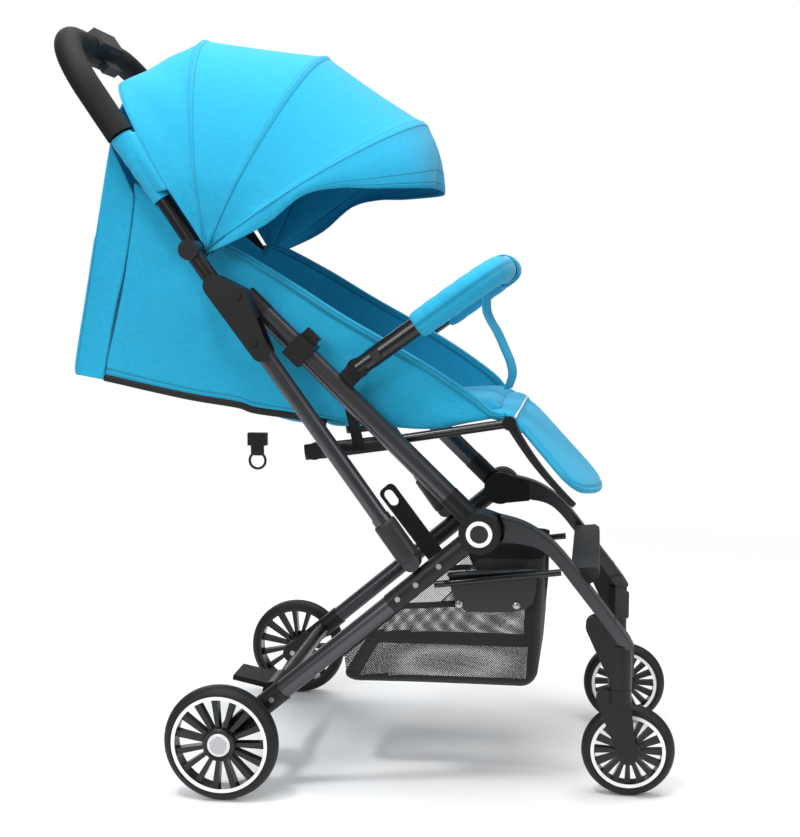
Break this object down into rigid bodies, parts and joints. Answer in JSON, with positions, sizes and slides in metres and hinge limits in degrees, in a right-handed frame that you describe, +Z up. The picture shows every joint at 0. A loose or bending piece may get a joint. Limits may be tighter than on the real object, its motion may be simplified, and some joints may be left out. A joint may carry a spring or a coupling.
{
  "type": "baby stroller",
  "caption": "Folding travel stroller with reclining fabric seat, hooded canopy, mesh basket, spoked wheels and swivel front casters.",
  "frame": {"origin": "on the ground, at the middle of the overall length and width", "axes": "+X forwards, +Y to the child's left, +Z up"},
  "size_m": [0.8336, 0.5172, 1.0085],
  "materials": {
    "black_fabric": "mesh and woven polyester",
    "black_plastic": "fine moulded texture",
    "black_tube": "satin black powder coat",
    "blue_fabric": "woven polyester",
    "foam": "matt foam grip",
    "grey_plastic": "fine moulded texture",
    "gunmetal": "satin gunmetal powder coat",
    "rim": "semi gloss",
    "steel": "plated",
    "tyre": "matt foam rubber",
    "white_trim": "white"
  },
  "bodies": {
    "rear_frame": {"rear_legs": "gunmetal", "rear_sleeves": "black_plastic", "rear_hub_left": "black_plastic", "rear_hub_right": "black_plastic", "hub_rings": "white_trim", "hub_caps": "grey_plastic", "rear_cross_tube": "black_tube", "axle_carrier_left": "black_plastic", "axle_carrier_right": "black_plastic", "rear_axles": "steel", "rear_leg_rivets": "steel", "basket": "black_fabric", "basket_flaps": "black_fabric", "basket_rods": "black_tube", "pull_loop": "black_plastic"},
    "brake": {"brake_pedal": "black_plastic"},
    "rear_wheel_left": {"rear_tyre_left": "tyre", "rear_rim_left": "rim", "rear_ring_left": "white_trim"},
    "rear_wheel_right": {"rear_tyre_right": "tyre", "rear_rim_right": "rim", "rear_ring_right": "white_trim"},
    "front_frame": {"front_legs": "gunmetal", "front_hubs": "black_plastic", "footrest": "grey_plastic", "caster_housings": "black_plastic"},
    "caster_left": {"caster_fork_left": "black_plastic"},
    "caster_right": {"caster_fork_right": "black_plastic"},
    "front_wheel_left": {"front_tyre_left": "tyre", "front_rim_left": "rim", "front_rings_left": "white_trim"},
    "front_wheel_right": {"front_tyre_right": "tyre", "front_rim_right": "rim", "front_rings_right": "white_trim"},
    "side_frame": {"side_tubes": "gunmetal", "side_hubs": "black_plastic", "seat_rails": "black_tube", "bar_lugs": "black_plastic", "accessory_clip": "black_plastic", "seat_base": "blue_fabric", "seat_walls": "blue_fabric", "back_curtain": "blue_fabric"},
    "calf": {"calf_rest": "blue_fabric"},
    "back": {"backrest": "blue_fabric", "recline_strap": "black_fabric"},
    "struts": {"struts": "gunmetal"},
    "bracket": {"brackets": "black_plastic", "upper_tubes": "black_tube"},
    "handle": {"handle_tube": "black_tube", "handle_grip": "foam", "handle_box": "grey_plastic"},
    "trigger": {"handle_trigger": "grey_plastic"},
    "canopy_bow_rear": {"canopy_rear": "blue_fabric"},
    "canopy_bow_middle": {"canopy_middle": "blue_fabric"},
    "canopy_bow_front": {"canopy_front": "blue_fabric"},
    "bumper": {"bumper_bar": "black_tube", "bar_cover": "blue_fabric", "crotch_strap": "blue_fabric"},
    "button_left": {"bar_button_left": "grey_plastic"},
    "button_right": {"bar_button_right": "grey_plastic"}
  },
  "joints": [
    {"name": "rear_wheel_left_spin", "type": "hinge", "parent": "rear_frame", "child": "rear_wheel_left", "pos_m": [-0.16341, 0.242, 0.075], "axis": [0, 1, 0], "continuous": true},
    {"name": "rear_wheel_right_spin", "type": "hinge", "parent": "rear_frame", "child": "rear_wheel_right", "pos_m": [-0.16341, -0.242, 0.075], "axis": [0, 1, 0], "continuous": true},
    {"name": "caster_left_swivel", "type": "hinge", "parent": "front_frame", "child": "caster_left", "pos_m": [0.34159, 0.179, 0.16], "axis": [0, 0, 1], "continuous": true},
    {"name": "caster_right_swivel", "type": "hinge", "parent": "front_frame", "child": "caster_right", "pos_m": [0.34159, -0.179, 0.16], "axis": [0, 0, 1], "continuous": true},
    {"name": "front_wheel_left_spin", "type": "hinge", "parent": "caster_left", "child": "front_wheel_left", "pos_m": [0.35359, 0.1554, 0.06], "axis": [0, 1, 0], "continuous": true},
    {"name": "front_wheel_right_spin", "type": "hinge", "parent": "caster_right", "child": "front_wheel_right", "pos_m": [0.35359, -0.1554, 0.06], "axis": [0, 1, 0], "continuous": true},
    {"name": "brake_pedal_press", "type": "hinge", "parent": "rear_frame", "child": "brake", "pos_m": [-0.11583, -0.12, 0.11475], "axis": [0, -1, 0], "range_deg": [0, 18]},
    {"name": "main_fold", "type": "hinge", "parent": "rear_frame", "child": "side_frame", "pos_m": [0.16459, 0, 0.349], "axis": [0, -1, 0], "range_deg": [0, 55], "deforming": ["seat_walls", "back_curtain", "seat_base", "basket", "basket_flaps", "basket_rods"]},
    {"name": "front_leg_fold", "type": "hinge", "parent": "rear_frame", "child": "front_frame", "pos_m": [0.16459, 0, 0.349], "axis": [0, 1, 0], "range_deg": [0, 50.47]},
    {"name": "strut_fold", "type": "hinge", "parent": "rear_frame", "child": "struts", "pos_m": [0.07795, 0, 0.3092], "axis": [0, -1, 0], "range_deg": [0, 71.83]},
    {"name": "bracket_turn", "type": "hinge", "parent": "side_frame", "child": "bracket", "pos_m": [-0.14062, 0, 0.64476], "axis": [0, 1, 0], "range_deg": [0, 62.57]},
    {"name": "handle_fold", "type": "hinge", "parent": "bracket", "child": "handle", "pos_m": [-0.20448, 0, 0.70225], "axis": [0, 1, 0], "range_deg": [0, 78]},
    {"name": "handle_trigger_squeeze", "type": "slide", "parent": "handle", "child": "trigger", "axis": [-0.5621, 0, 0.8271], "range_m": [0, 0.005], "stiffness_N_per_m": 300},
    {"name": "canopy_fold", "type": "hinge", "parent": "bracket", "child": "canopy_bow_rear", "pos_m": [-0.19048, 0, 0.70425], "axis": [0, -1, 0], "range_deg": [0, 26], "deforming": ["canopy_rear"]},
    {"name": "canopy_middle_fold", "type": "hinge", "parent": "canopy_bow_rear", "child": "canopy_bow_middle", "pos_m": [-0.19048, 0, 0.70425], "axis": [0, -1, 0], "range_deg": [0, 35.05], "deforming": ["canopy_middle"]},
    {"name": "canopy_front_fold", "type": "hinge", "parent": "canopy_bow_middle", "child": "canopy_bow_front", "pos_m": [-0.19048, 0, 0.70425], "axis": [0, -1, 0], "range_deg": [0, 36.05], "deforming": ["canopy_front"]},
    {"name": "backrest_recline", "type": "hinge", "parent": "side_frame", "child": "back", "pos_m": [-0.05941, 0, 0.468], "axis": [0, 1, 0], "range_deg": [0, 42], "deforming": ["backrest"]},
    {"name": "calf_rest_lift", "type": "hinge", "parent": "side_frame", "child": "calf", "pos_m": [0.19759, 0, 0.482], "axis": [0, -1, 0], "range_deg": [0, 50], "deforming": ["calf_rest"]},
    {"name": "bumper_bar_turn", "type": "hinge", "parent": "side_frame", "child": "bumper", "pos_m": [0.0051, 0, 0.55229], "axis": [0, 1, 0], "range_deg": [0, 40], "deforming": ["crotch_strap"]},
    {"name": "bar_button_left_press", "type": "slide", "parent": "bumper", "child": "button_left", "axis": [0, -1, 0], "range_m": [0, 0.002], "stiffness_N_per_m": 400},
    {"name": "bar_button_right_press", "type": "slide", "parent": "bumper", "child": "button_right", "axis": [0, 1, 0], "range_m": [0, 0.002], "stiffness_N_per_m": 400}
  ],
  "couplings": [
    {"joint": "front_leg_fold", "follows": "main_fold", "ratio": 0.91667},
    {"joint": "strut_fold", "follows": "main_fold", "ratio": 1.305},
    {"joint": "bracket_turn", "follows": "main_fold", "ratio": 1.1367},
    {"joint": "canopy_middle_fold", "follows": "canopy_fold", "ratio": 1.3462},
    {"joint": "canopy_front_fold", "follows": "canopy_fold", "ratio": 1.3846}
  ]
}
